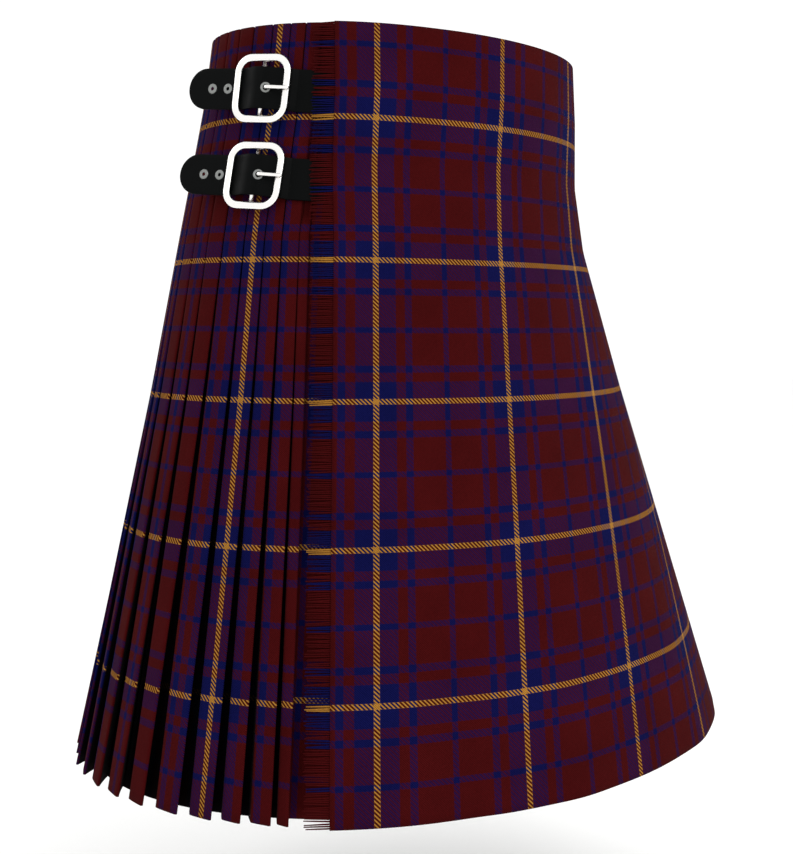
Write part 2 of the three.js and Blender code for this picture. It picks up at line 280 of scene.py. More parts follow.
def linear(colour: int) -> tuple[float, float, float, float]:
    """An sRGB hex colour as the linear colour that a shader takes."""
    parts = [((colour >> shift) & 255) / 255 for shift in (16, 8, 0)]
    parts = [p / 12.92 if p <= 0.04045 else ((p + 0.055) / 1.055) ** 2.4 for p in parts]
    return (*parts, 1.0)


def add_node(tree: bpy.types.NodeTree, kind: str, inputs: Optional[dict] = None, **settings: object) -> bpy.types.Node:
    """Adds a node with its settings and what feeds it.

    Args:
        tree: the node tree.
        kind: the node's type name.
        inputs: socket name or number to a value, or to the socket that feeds it.
        settings: the node's own properties.

    Returns:
        The node.
    """
    node = tree.nodes.new(kind)
    for name, value in settings.items():
        setattr(node, name, value)
    for key, value in (inputs or {}).items():
        if isinstance(value, bpy.types.NodeSocket):
            tree.links.new(value, node.inputs[key])
        else:
            node.inputs[key].default_value = value
    return node


def new_material(name: str) -> tuple[bpy.types.Material, bpy.types.NodeTree, bpy.types.Node]:
    """A material with just a shader in it.

    Args:
        name: the real material's name.

    Returns:
        The material, its tree and its shader node.
    """
    material = bpy.data.materials.new(name)
    material.use_nodes = True
    tree = material.node_tree
    return material, tree, tree.nodes["Principled BSDF"]


class Yarn(Enum):
    """The dyed yarns of the tartan."""

    RED = 0x3C0A0B
    BLUE = 0x0C0E3C
    YELLOW = 0x96682A


@dataclass(frozen=True)
class TartanTwill:
    """Worsted wool in 2/2 twill: matt, a little hairy, with fine diagonal ribs."""

    sett: float = 114  # the whole repeat
    # Half the repeat, mirrored about the yellow's middle and the narrow blue's middle.
    chart: tuple[tuple[Yarn, float], ...] = (
        (Yarn.YELLOW, 2.5),
        (Yarn.BLUE, 16.5),
        (Yarn.RED, 9),
        (Yarn.BLUE, 7),
        (Yarn.RED, 32),
        (Yarn.BLUE, 3),
    )
    rib: float = 3.2  # across a rib and its furrow, along the weft: five threads
    blend: float = 0.3  # how much the crossing yarns of red and blue run together to the eye

    def stripes(
        self, tree: bpy.types.NodeTree, threads: bpy.types.NodeSocket
    ) -> tuple[bpy.types.NodeSocket, bpy.types.NodeSocket]:
        """The yarn colour of each thread of one set.

        Args:
            tree: the node tree.
            threads: the thread's number from a yellow's middle.

        Returns:
            The colour, and 1 where the thread is yellow.
        """
        half = sum(count for _, count in self.chart)
        back_and_forth = add_node(tree, "ShaderNodeMath", {0: threads, 1: half}, operation="PINGPONG")
        part = add_node(tree, "ShaderNodeMath", {0: back_and_forth.outputs[0], 1: half}, operation="DIVIDE")
        ramp = add_node(tree, "ShaderNodeValToRGB", {0: part.outputs[0]})
        ramp.color_ramp.interpolation = "CONSTANT"
        stops, start = ramp.color_ramp.elements, 0.0
        for number, (yarn, count) in enumerate(self.chart):
            stop = stops[number] if number < 2 else stops.new(start / half)
            stop.position = start / half
            stop.color = linear(yarn.value)
            start += count
        yellow = add_node(
            tree, "ShaderNodeMath", {0: back_and_forth.outputs[0], 1: self.chart[0][1]}, operation="LESS_THAN"
        )
        return ramp.outputs[0], yellow.outputs[0]

    def build(self, fringe: bool = False) -> bpy.types.Material:
        """Makes the material.

        Args:
            fringe: whether it is the loose weft of the fringe, which shows the cross stripes only.

        Returns:
            The material.
        """
        material, tree, shader = new_material("Worsted wool weft fringe" if fringe else "Worsted wool twill tartan")
        half = sum(count for _, count in self.chart)
        place = add_node(tree, "ShaderNodeUVMap", uv_map=CLOTH_MAP)
        numbers = add_node(
            tree, "ShaderNodeVectorMath", {0: place.outputs[0], 1: (2 * half / self.sett,) * 3}, operation="MULTIPLY"
        )
        split = add_node(tree, "ShaderNodeSeparateXYZ", {0: numbers.outputs[0]})
        across, down = split.outputs[0], split.outputs[1]
        weft, yellow_weft = self.stripes(tree, down)
        # Dyed wool varies a little along the piece, and its hairs break up the colour.
        objects = add_node(tree, "ShaderNodeTexCoord")
        cloudy = add_node(tree, "ShaderNodeTexNoise", {"Vector": objects.outputs["Object"], "Scale": 22.0, "Detail": 3.0})
        hairy = add_node(tree, "ShaderNodeTexNoise", {"Vector": objects.outputs["Object"], "Scale": 900.0, "Detail": 2.0})
        if fringe:
            colour, rib = weft, None
        else:
            warp, yellow_warp = self.stripes(tree, across)
            slant = add_node(tree, "ShaderNodeMath", {0: across, 1: down}, operation="SUBTRACT")
            ribs = self.sett / (2 * half) / self.rib
            rib = add_node(tree, "ShaderNodeMath", {0: slant.outputs[0], 1: ribs}, operation="MULTIPLY")
            phase = add_node(tree, "ShaderNodeMath", {0: rib.outputs[0]}, operation="FRACT")
            over = add_node(tree, "ShaderNodeMath", {0: phase.outputs[0], 1: 0.5}, operation="LESS_THAN")
            # Red and blue floats run together at a distance, and yellow ones stand out crisply.
            soft = add_node(
                tree, "ShaderNodeMapRange", {0: over.outputs[0], 3: self.blend, 4: 1 - self.blend}
            )
            crisp = add_node(tree, "ShaderNodeMath", {0: yellow_warp, 1: yellow_weft}, operation="MAXIMUM")
            share = add_node(tree, "ShaderNodeMix", {0: crisp.outputs[0], 2: soft.outputs[0], 3: over.outputs[0]})
            crossed = add_node(
                tree, "ShaderNodeMix", {0: share.outputs[0], 6: weft, 7: warp}, data_type="RGBA", blend_type="MIX"
            )
            colour = crossed.outputs[2]
            turned = add_node(tree, "ShaderNodeMath", {0: rib.outputs[0], 1: 2 * math.pi}, operation="MULTIPLY")
            wave = add_node(tree, "ShaderNodeMath", {0: turned.outputs[0]}, operation="SINE")
            rib = add_node(tree, "ShaderNodeMath", {0: wave.outputs[0]}, operation="ABSOLUTE")
        shade = add_node(
            tree, "ShaderNodeMapRange", {0: cloudy.outputs[0], 1: 0.3, 2: 0.7, 3: 0.9, 4: 1.08}, clamp=True
        ).outputs[0]
        fuzz = add_node(tree, "ShaderNodeMapRange", {0: hairy.outputs[0], 1: 0.3, 2: 0.7, 3: 0.86, 4: 1.12}).outputs[0]
        shade = add_node(tree, "ShaderNodeMath", {0: shade, 1: fuzz}, operation="MULTIPLY").outputs[0]
        if rib is not None:  # the furrow between two floats lies in shadow
            furrow = add_node(tree, "ShaderNodeMapRange", {0: rib.outputs[0], 1: 0.0, 2: 0.8, 3: 0.42, 4: 1.12})
            shade = add_node(tree, "ShaderNodeMath", {0: shade, 1: furrow.outputs[0]}, operation="MULTIPLY").outputs[0]
        # Painted shade: the cloth shut in the pleats is coloured darker, as little light reaches it there.
        shade_attribute = add_node(tree, "ShaderNodeAttribute", attribute_name=PAINTED_FOLD_SHADE, attribute_type="GEOMETRY")
        painted_gloom = add_node(tree, "ShaderNodeMapRange", {0: shade_attribute.outputs["Fac"], 1: 0.0, 2: 1.0, 3: 1.0, 4: 0.04})
        shade = add_node(tree, "ShaderNodeMath", {0: shade, 1: painted_gloom.outputs[0]}, operation="MULTIPLY").outputs[0]
        tone = add_node(tree, "ShaderNodeCombineColor", {0: shade, 1: shade, 2: shade})
        final = add_node(
            tree, "ShaderNodeMix", {0: 1.0, 6: colour, 7: tone.outputs[0]}, data_type="RGBA", blend_type="MULTIPLY"
        )
        tree.links.new(final.outputs[2], shader.inputs["Base Color"])
        height = rib.outputs[0] if rib is not None else hairy.outputs[0]
        bump = add_node(tree, "ShaderNodeBump", {"Strength": 0.5, "Distance": 0.0003, "Height": height})
        tree.links.new(bump.outputs[0], shader.inputs["Normal"])
        shader.inputs["Roughness"].default_value = 0.9
        shader.inputs["IOR"].default_value = 1.45
        shader.inputs["Specular IOR Level"].default_value = 0.01
        shader.inputs["Sheen Weight"].default_value = 0.008
        shader.inputs["Sheen Roughness"].default_value = 0.45
        return material


@dataclass(frozen=True)
class StrapLeather:
    """Vegetable-tanned cowhide, dyed black and finished smooth: a soft shine with a fine grain."""

    colour: int = 0x020303
    grain: float = 0.9  # width of a grain cell

    def build(self) -> bpy.types.Material:
        """Makes the material."""
        material, tree, shader = new_material("Vegetable-tanned leather dyed black")
        place = add_node(tree, "ShaderNodeTexCoord")
        grain = add_node(
            tree, "ShaderNodeTexVoronoi", {"Vector": place.outputs["Object"], "Scale": 1000 / self.grain}, feature="F1"
        )
        wear = add_node(tree, "ShaderNodeTexNoise", {"Vector": place.outputs["Object"], "Scale": 70.0, "Detail": 4.0})
        tone = add_node(tree, "ShaderNodeValToRGB", {0: wear.outputs[0]})
        tone.color_ramp.elements[0].color = linear(self.colour)
        tone.color_ramp.elements[1].color = linear(self.colour + 0x020202)
        rough = add_node(tree, "ShaderNodeMapRange", {0: wear.outputs[0], 1: 0.3, 2: 0.7, 3: 0.45, 4: 0.6})
        bump = add_node(tree, "ShaderNodeBump", {"Strength": 0.25, "Distance": 0.00015, "Height": grain.outputs["Distance"]})
        tree.links.new(tone.outputs[0], shader.inputs["Base Color"])
        tree.links.new(rough.outputs[0], shader.inputs["Roughness"])
        tree.links.new(bump.outputs[0], shader.inputs["Normal"])
        shader.inputs["IOR"].default_value = 1.5
        shader.inputs["Specular IOR Level"].default_value = 0.05
        return material


@dataclass(frozen=True)
class PlatedMetal:
    """Nickel-plated brass: bright white metal, polished, with faint handling marks."""

    name: str = "Nickel-plated brass polished"
    colour: int = 0xF4F2EF
    smoothest: float = 0.16
    dullest: float = 0.3

    def build(self) -> bpy.types.Material:
        """Makes the material."""
        material, tree, shader = new_material(self.name)
        place = add_node(tree, "ShaderNodeTexCoord")
        marks = add_node(tree, "ShaderNodeTexNoise", {"Vector": place.outputs["Object"], "Scale": 350.0, "Detail": 5.0})
        rough = add_node(
            tree, "ShaderNodeMapRange", {0: marks.outputs[0], 1: 0.3, 2: 0.7, 3: self.smoothest, 4: self.dullest}
        )
        bump = add_node(tree, "ShaderNodeBump", {"Strength": 0.06, "Distance": 0.0001, "Height": marks.outputs[0]})
        tree.links.new(rough.outputs[0], shader.inputs["Roughness"])
        tree.links.new(bump.outputs[0], shader.inputs["Normal"])
        shader.inputs["Base Color"].default_value = linear(self.colour)
        shader.inputs["Metallic"].default_value = 1.0
        return material


@dataclass
class Wardrobe:
    """Every finish, made once."""

    tartan: bpy.types.Material = field(default_factory=lambda: TartanTwill().build())
    fringe: bpy.types.Material = field(default_factory=lambda: TartanTwill().build(fringe=True))
    leather: bpy.types.Material = field(default_factory=lambda: StrapLeather().build())
    nickel: bpy.types.Material = field(default_factory=lambda: PlatedMetal().build())
    eyelet: bpy.types.Material = field(
        default_factory=lambda: PlatedMetal("Zinc-plated steel dull", 0x8A8C8A, 0.45, 0.6).build()
    )


# ---- Building ----


def finish_mesh(name: str, bm: bmesh.types.BMesh, material: bpy.types.Material, slot: Slot) -> bpy.types.Object:
    """Turns a bmesh into a piece of the kilt that rides on its body.

    Args:
        name: the piece's name.
        bm: its mesh, in metres, which is freed.
        material: its finish.
        slot: not used.

    Returns:
        The object, at the origin.
    """
    for face in bm.faces:
        face.smooth = True
    mesh = bpy.data.meshes.new(name)
    bm.to_mesh(mesh)
    bm.free()
    mesh.materials.append(material)
    piece = bpy.data.objects.new(name, mesh)
    bpy.context.scene.collection.objects.link(piece)
    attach(piece, BODY)
    log.info("%s: %d faces", name, len(mesh.polygons))
    return piece


@dataclass(frozen=True)
class Line:
    """The cloth's line across one level.

    It holds its places round and out, its map's first number, and how deep in a fold each place
    lies, from 0, open, to 1, shut in, which the tartan turns into painted shade.
    """

    turns: np.ndarray
    outs: np.ndarray
    across: np.ndarray
    depth: np.ndarray


def cloth_sheet(
    name: str,
    form: KiltForm,
    levels: Sequence[float],
    line: Callable[[float], Line],
    thick: float,
    material: bpy.types.Material,
) -> bpy.types.Object:
    """Hangs a grid of cloth on its lines and gives it its thickness.

    Args:
        name: the piece's name, which is also the solid's that it stands for.
        form: the garment's form.
        levels: the grid's levels.
        line: gives the cloth's line at a level.
        thick: the cloth's thickness.
        material: its finish.

    Returns:
        The piece.
    """
    lines = [line(level) for level in levels]
    rows, columns = len(levels) - 1, len(lines[0].turns) - 1
    places = [form.points(each.turns, level, each.outs) for each, level in zip(lines, levels)]
    bm = bmesh.new()
    bmesh.ops.create_grid(bm, x_segments=columns, y_segments=rows, size=0.5)
    chart = bm.loops.layers.uv.new(CLOTH_MAP)
    # Each corner's share of painted fold shade, which the tartan reads as a darker colour.
    shade_attribute = bm.verts.layers.float.new(PAINTED_FOLD_SHADE)
    cells = {v: (round((0.5 - v.co.y) * rows), round((v.co.x + 0.5) * columns)) for v in bm.verts}
    for face in bm.faces:
        for loop in face.loops:
            row, column = cells[loop.vert]
            loop[chart].uv = (lines[row].across[column], levels[row] - form.yellow_level)
    for vert, (row, column) in cells.items():
        vert.co = places[row][column]
        vert[shade_attribute] = lines[row].depth[column]
    bm.normal_update()
    facing = sum(f.normal.dot(Vector((*f.calc_center_median().xy, 0))) * f.calc_area() for f in bm.faces)
    if facing < 0:
        bmesh.ops.reverse_faces(bm, faces=bm.faces)
    piece = finish_mesh(f"{name}_cloth", bm, material, Slot.TARTAN)
    wall = piece.modifiers.new("Cloth", "SOLIDIFY")
    wall.thickness = thick * MM
    wall.offset = 0
    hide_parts(name)
    widths = [float(np.ptp(each.across)) for each in lines]
    area = float(np.trapezoid(widths, levels)) if hasattr(np, "trapezoid") else float(np.trapz(widths, levels))
    return piece


def path_length(ring: Ring, turns: np.ndarray, outs: np.ndarray) -> np.ndarray:
    """The distance along a line of cloth from its start, at each of its places."""
    steps = np.hypot(np.diff(turns) * ring.girth, np.diff(outs))
    return np.concatenate(([0.0], np.cumsum(steps)))


@dataclass(frozen=True)
class Crease:
    """A soft trough or ridge that runs down the cloth."""

    turn: float
    top: float
    bottom: float
    half_width: float
    height: float
    lean: float = 0.0

    def rise(self, form: KiltForm, turns: np.ndarray, level: float) -> np.ndarray:
        """How far it moves the cloth outwards.

        Args:
            form: the garment's form.
            turns: the ways round.
            level: distance down the cloth.

        Returns:
            The movement at each turn.
        """
        part = (level - self.top) / (self.bottom - self.top)
        if part <= 0 or (part >= 1 and self.bottom < form.drop):
            return np.zeros(len(turns))
        swell = math.sin(math.pi * part) ** 2 if self.bottom < form.drop else part * part * (3 - 2 * part)
        away = (turns - self.turn - self.lean * part) * form.ring(level).girth / self.half_width
        return self.height * swell * np.exp(-away * away)


# ---- Cloth pieces ----


@dataclass
class Pleats:
    """The knife pleats, pressed flat to the fell and standing open below it."""

    form: KiltForm
    wardrobe: Wardrobe
    rows: int = 62
    yellow_turn: float = 0.2067  # a yellow stripe runs down this pleat's middle
    splay: tuple[float, ...] = (0.0, 0.9, -0.5, 1.6, 0.3, -0.7, 1.2, 0.5, -0.3)  # uneven lift at the hem
    # How strong the painted fold shade is down to the fell.
    fell_painted_shade: float = 0.45

    def line(self, number: int, level: float) -> Line:
        """One pleat's cloth: its hidden layer, its fold, its face and the layer under the next.

        Args:
            number: the pleat's number.
            level: distance down the cloth.

        Returns:
            Its line.
        """
        form, ring, opened = self.form, self.form.ring(level), self.form.openness(level)
        cloth, gap = form.pleat_cloth, form.gap
        fold, following = form.fold_turn(number), form.fold_turn(number + 1)
        face = (following - fold) * ring.girth
        reach = form.underlap(number, level) * ring.girth
        tail = face + form.underlap(number + 1, level) * ring.girth + 1.5
        lift = form.fold_lift(level)
        if 7 < number < form.pleats - 2:
            lift += self.splay[number % len(self.splay)] * opened * opened
        radius = (cloth + gap) / 2
        centre = radius + cloth / 2
        middle = lift - cloth - gap / 2
        arc = np.radians(np.linspace(-90, 90, 7))
        under_x = np.linspace(reach, centre, 5)[:-1]
        under_out = np.linspace(1.45 * cloth, middle - radius, 5)[:-1]  # its end lies on the next layer
        shoulder = mix(form.shoulder, form.hem_shoulder, opened) + cloth / 2
        knee, foot = face * mix(form.top_knee, form.hem_knee, opened), face - 0.8
        face_x = np.concatenate((np.linspace(centre, knee, 7), np.linspace(knee, foot, 8)[1:]))
        face_out = smooth(np.interp(face_x, [centre, knee, foot], [lift - cloth / 2, shoulder, cloth / 2]))
        # The painted shade grows where the face turns in under the next fold.
        foot_painted_shade = np.clip((face_x - knee) / (foot - knee) * 2.2, 0, 1)[1:]
        face_x, face_out = face_x[1:], face_out[1:]
        tail_x = np.linspace(foot, tail, 3)[1:]
        x = np.concatenate((under_x, centre - radius * np.cos(arc), face_x, tail_x))
        outs = np.concatenate(
            (under_out, middle + radius * np.sin(arc), face_out, np.full(len(tail_x), cloth / 2))
        )
        turns = fold + x / ring.girth
        along = path_length(ring, turns, outs)
        along -= along[len(under_x) + 3]
        start = (fold - self.yellow_turn) * form.ring(form.fell).girth
        # Painted shade: the hidden layer, the inside of the fold and the face's foot under the next fold are coloured
        # darker, less so above the fell.
        painted_shade = np.concatenate((np.ones(len(under_x)), [1, 0.8, 0.4, 0.1, 0, 0, 0], foot_painted_shade, np.ones(len(tail_x))))
        return Line(turns, outs, -(start + along), painted_shade * mix(self.fell_painted_shade, 1, min(opened * 4, 1)))

    def build(self) -> None:
        """Makes every pleat."""
        levels = np.linspace(0, self.form.drop, self.rows)
        for number in range(1, self.form.pleats + 1):
            cloth_sheet(
                f"pleat_{number:02d}",
                self.form,
                levels,
                lambda level, pleat=number: self.line(pleat, level),
                self.form.pleat_cloth,
                self.wardrobe.tartan,
            )


@dataclass
class OverApron:
    """The flat outer front panel, folded under at the left hip."""

    form: KiltForm
    wardrobe: Wardrobe
    rows: int = 100
    columns: int = 120
    first_yellow: float = 50  # from the fringe's tips to the first yellow stripe
    creases: tuple[Crease, ...] = (
        Crease(0.035, 330, 615, 26, 1.7, 0.004),
        Crease(0.098, 250, 615, 20, -1.3, -0.006),
        Crease(-0.012, 190, 520, 24, -1.2, 0.003),
        Crease(-0.055, 300, 615, 30, 1.9, -0.005),
        Crease(-0.118, 240, 615, 24, -1.5, -0.004),
        Crease(-0.165, 340, 615, 26, 1.5, -0.003),
        Crease(0.066, 60, 300, 40, 0.9, 0.0),
        Crease(-0.09, 70, 330, 44, 0.8, 0.0),
    )

    def line(self, level: float) -> Line:
        """The apron's line at a level, from its free edge to the layer under its fold."""
        form, ring = self.form, self.form.ring(level)
        cloth, gap = form.apron_cloth, form.gap
        fold = form.fold_turn(form.pleats + 1)
        root = 1 + form.root(level)
        radius = (cloth + gap) / 2
        centre = fold + (radius + cloth / 2) / ring.girth
        turns = np.linspace(root, centre, self.columns)
        outs = form.apron_out(turns, level) + cloth / 2
        for crease in self.creases:
            outs = outs + crease.rise(form, turns - 1, level)
        middle = outs[-1] - radius
        arc = np.radians(np.linspace(90, -90, 9))[1:]
        back = fold + form.underlap(form.pleats + 1, level)
        under = np.linspace(0, 1, 5)[1:]
        turns = np.concatenate((turns, centre - radius * np.cos(arc) / ring.girth, mix(centre, back, under)))
        outs = np.concatenate((outs, middle + radius * np.sin(arc), mix(middle - radius, 1.9, under)))
        along = path_length(ring, turns, outs) + form.fringe_reach - self.first_yellow
        # Painted shade on the layer turned under at the apron's fold.
        painted_shade = np.zeros(len(turns))
        painted_shade[-len(under) - 2 :] = 1
        return Line(turns, outs, along, painted_shade)

    def build(self) -> bpy.types.Object:
        """Makes the apron."""
        levels = np.linspace(0, self.form.drop, self.rows)
        return cloth_sheet(
            "over_apron", self.form, levels, self.line, self.form.apron_cloth, self.wardrobe.tartan
        )


@dataclass
class UnderApron:
    """The front panel beneath, which runs on from the first pleat to the left hip."""

    form: KiltForm
    wardrobe: Wardrobe
    rows: int = 70
    columns: int = 90
    first_yellow: float = 65  # from where it leaves the first pleat

    def line(self, level: float) -> Line:
        """The under apron's line at a level."""
        form = self.form
        start = form.fold_turn(1) + form.underlap(1, level)
        turns = np.linspace(start, form.under_edge, self.columns)
        outs = 0.5 * form.pleat_cloth - (form.pleat_cloth + form.gap) * np.clip(-turns / 0.1, 0, 1)
        along = path_length(form.ring(level), turns, outs) - self.first_yellow
        return Line(turns, outs, along, np.zeros(len(turns)))

    def build(self) -> bpy.types.Object:
        """Makes the under apron."""
        levels = np.linspace(0, self.form.drop, self.rows)
        return cloth_sheet(
            "under_apron", self.form, levels, self.line, self.form.pleat_cloth, self.wardrobe.tartan
        )


@dataclass
class Fringe:
    """The over apron's free edge: the warp is drawn out and the weft threads stand loose."""

    form: KiltForm
    wardrobe: Wardrobe
    pitch: float = 1.63  # a strand is two threads, which shows where one would not
    strand: float = 0.72
    seed: int = 11

    def build(self) -> bpy.types.Object:
        """Makes all the strands as one mesh."""
        form, chance = self.form, random.Random(self.seed)
        bm = bmesh.new()
        chart = bm.loops.layers.uv.new(CLOTH_MAP)
        for index in range(int(form.drop / self.pitch)):
            level = (index + 0.5) * self.pitch
            girth = form.ring(level).girth
            reach = form.fringe_reach * chance.uniform(0.86, 1.0)
            root = form.root(level)
            out = float(form.apron_out(np.array([1 + root]), level)[0]) + 0.6
            start = form.point(root - 1.5 / girth, level, out + chance.uniform(-0.15, 0.2))
            sag = min(max(level + chance.uniform(-0.7, 1.3), 0.5), form.drop - 0.5)
            end = form.point(root + reach / girth, sag, out + chance.uniform(-0.35, 0.5))
            line = end - start
            turn = line.to_track_quat("Z", "Y").to_matrix().to_4x4()
            made = bmesh.ops.create_cone(
                bm,
                cap_ends=True,
                segments=6,
                radius1=self.strand * MM,
                radius2=self.strand * 0.6 * MM,
                depth=line.length,
                matrix=Matrix.Translation((start + end) / 2) @ turn,
            )
            for face in {f for v in made["verts"] for f in v.link_faces}:
                for loop in face.loops:
                    loop[chart].uv = (0.0, level - form.yellow_level)
        piece = finish_mesh("apron_fringe_threads", bm, self.wardrobe.fringe, Slot.FRINGE)
        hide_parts("apron_fringe")
        return piece


# ---- Straps and buckles ----


@dataclass(frozen=True)
class Fastening:
    """A strap in its buckle. sewn is how far the strap's sewn end is from the buckle's middle."""

    name: str
    turn: float
    level: float
    sewn: float
    side: int

    def matrix(self, form: KiltForm, rise: float) -> Matrix:
        """The buckle's own frame: x towards the strap's sewn end, y along the cloth, z outwards.

        Args:
            form: the garment's form.
            rise: how much the strap drops for each millimetre towards its sewn end.

        Returns:
            The frame's matrix, in metres.
        """
        girth, reach, lift = form.ring(self.level).girth, 10.0, form.fold_lift(self.level)
        origin = form.point(self.turn, self.level, lift)
        ahead = form.point(self.turn - self.side * reach / girth, self.level + rise * reach, lift)
        behind = form.point(self.turn + self.side * reach / girth, self.level - rise * reach, lift)
        above = form.point(self.turn, self.level - reach, lift)
        below = form.point(self.turn, self.level + reach, lift)
        x = (ahead - behind).normalized()
        z = x.cross((above - below) * self.side).normalized()
        y = z.cross(x)
        matrix = Matrix((x, y, z)).transposed().to_4x4()
        matrix.translation = origin
        return matrix


@dataclass
class StrapAndBuckle:
    """One leather strap, its eyelets, the buckle's frame with its middle bar, and the tongue."""

    form: KiltForm
    wardrobe: Wardrobe
    fastening: Fastening
    width: float = 33
    thick: float = 2.2
    tip: float = -71
    rise: float = 0.065
    holes: tuple[float, ...] = (6.3, -33, -48)
    hole_radius: float = 2.9
    frame_width: float = 52
    frame_height: float = 55
    frame_bar: float = 6
    frame_corner: float = 15
    frame_thick: float = 3
    frame_seat: float = 5.3
    bar_radius: float = 1.75
    bar_seat: float = 4.4
    tongue_radius: float = 1.6
    ring_radius: float = 2.95
    # The strap's underside: under the side bars and over the middle one.
    route: tuple[tuple[float, float], ...] = (
        (-27, 2.6),
        (-19, 2.6),
        (-12, 5.4),
        (-5, 8.8),
        (5, 8.8),
        (12, 5.4),
        (19, 2.6),
        (27, 0.8),
    )

    def __post_init__(self) -> None:
        """Finds the buckle's frame of reference."""
        self.place = self.fastening.matrix(self.form, self.rise)

    def lift(self, along: float) -> float:
        """The strap's underside above the cloth at a place along it, with soft bends."""
        samples = along + np.linspace(-3, 3, 7)
        return float(np.interp(samples, *zip(*self.route)).mean())

    def strap_point(self, along: float, side: float, lift: float) -> Vector:
        """A point of the strap: on the cloth near its sewn end and straight past it.

        Args:
            along: place along the strap from the buckle's middle.
            side: place across it.
            lift: height over the cloth.

        Returns:
            The point in metres.
        """
        if along <= 27:
            return self.place @ (Vector((along, side, lift)) * MM)
        fastening = self.fastening
        turn = fastening.turn - fastening.side * along / self.form.ring(fastening.level).girth
        level = fastening.level + self.rise * along - side * fastening.side
        return self.form.point(turn, level, self.form.fold_lift(level) + lift)

    def half_width(self, along: float) -> float:
        """The strap's half width: full, then round to its tip."""
        radius = self.width / 2
        past = self.tip + radius - along
        return radius if past <= 0 else math.sqrt(max(radius**2 - past**2, 0.25))

    def build_strap(self) -> bpy.types.Object:
        """Makes the strap with its edges eased and its holes cut."""
        radius = self.width / 2
        run = list(np.linspace(self.fastening.sewn, self.tip + radius, 78))
        run += [self.tip + radius * (1 - math.sin(math.radians(a))) for a in range(8, 91, 6)]
        rows, columns = len(run) - 1, 10
        bm = bmesh.new()
        bmesh.ops.create_grid(bm, x_segments=columns, y_segments=rows, size=0.5)
        for vert in bm.verts:
            along = run[round((0.5 - vert.co.y) * rows)]
            side = 2 * vert.co.x * self.half_width(along)
            vert.co = self.strap_point(along, side, self.lift(along) + self.thick / 2)
        bm.normal_update()
        out = self.place.to_3x3() @ Vector((0, 0, 1))
        if sum(f.normal.dot(out) for f in bm.faces) < 0:
            bmesh.ops.reverse_faces(bm, faces=bm.faces)
        piece = finish_mesh(f"strap_{self.fastening.name}_hide", bm, self.wardrobe.leather, Slot.LEATHER)
        wall = piece.modifiers.new("Hide", "SOLIDIFY")
        wall.thickness, wall.offset = self.thick * MM, 0
        edge = piece.modifiers.new("Eased", "BEVEL")
        edge.width, edge.segments, edge.limit_method, edge.angle_limit = 0.45 * MM, 2, "ANGLE", math.radians(50)
        punch = bmesh.new()
        for along in self.holes:
            centre = self.place @ Matrix.Translation(Vector((along, 0, 5)) * MM)
            bmesh.ops.create_cone(
                punch,
                cap_ends=True,
                segments=20,
                radius1=self.hole_radius * MM,
                radius2=self.hole_radius * MM,
                depth=30 * MM,
                matrix=centre,
            )
        cutter_mesh = bpy.data.meshes.new("punch")
        punch.to_mesh(cutter_mesh)
        punch.free()
        cutter = bpy.data.objects.new("punch", cutter_mesh)
        bpy.context.scene.collection.objects.link(cutter)
        cut = piece.modifiers.new("Holes", "BOOLEAN")
        cut.operation, cut.object, cut.solver = "DIFFERENCE", cutter, "EXACT"
        bake(piece)
        bpy.data.objects.remove(cutter)
        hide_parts(f"strap_{self.fastening.name}")
        return piece

    def build_eyelets(self) -> bpy.types.Object:
        """Makes the ring set into each hole."""
        bm = bmesh.new()
        for along in self.holes:
            middle = self.strap_point(along, 0, self.lift(along) + self.thick)
            ahead = self.strap_point(along + 1, 0, self.lift(along + 1) + self.thick)
            behind = self.strap_point(along - 1, 0, self.lift(along - 1) + self.thick)
            x = (ahead - behind).normalized()
            y = (self.place.to_3x3() @ Vector((0, 1, 0))).normalized()
            matrix = Matrix((x, y, x.cross(y))).transposed().to_4x4()
            matrix.translation = middle
            free = along < 0
            radius, section = (2.75, 1.45) if free else (3.2, 1.0)
            made = bmesh.ops.create_circle(bm, segments=8, radius=section * MM)["verts"]
            bmesh.ops.scale(bm, vec=(1, 0.4, 1), verts=made)
            bmesh.ops.rotate(bm, cent=(0, 0, 0), matrix=Matrix.Rotation(math.pi / 2, 3, "X"), verts=made)
            bmesh.ops.translate(bm, vec=(radius * MM, 0, 0), verts=made)
            edges = list({e for v in made for e in v.link_edges})
            spun = bmesh.ops.spin(
                bm, geom=made + edges, axis=(0, 0, 1), cent=(0, 0, 0), angle=2 * math.pi, steps=24, use_merge=True
            )
            grown = {v for f in bm.faces for v in f.verts if not f.tag}
            for face in bm.faces:
                if not face.tag:
                    face.tag = True
            bmesh.ops.transform(bm, matrix=matrix, verts=list(grown))
            del spun
        bmesh.ops.remove_doubles(bm, verts=bm.verts, dist=1e-6)
        bmesh.ops.recalc_face_normals(bm, faces=bm.faces)
        return finish_mesh(f"eyelets_{self.fastening.name}", bm, self.wardrobe.eyelet, Slot.METAL)

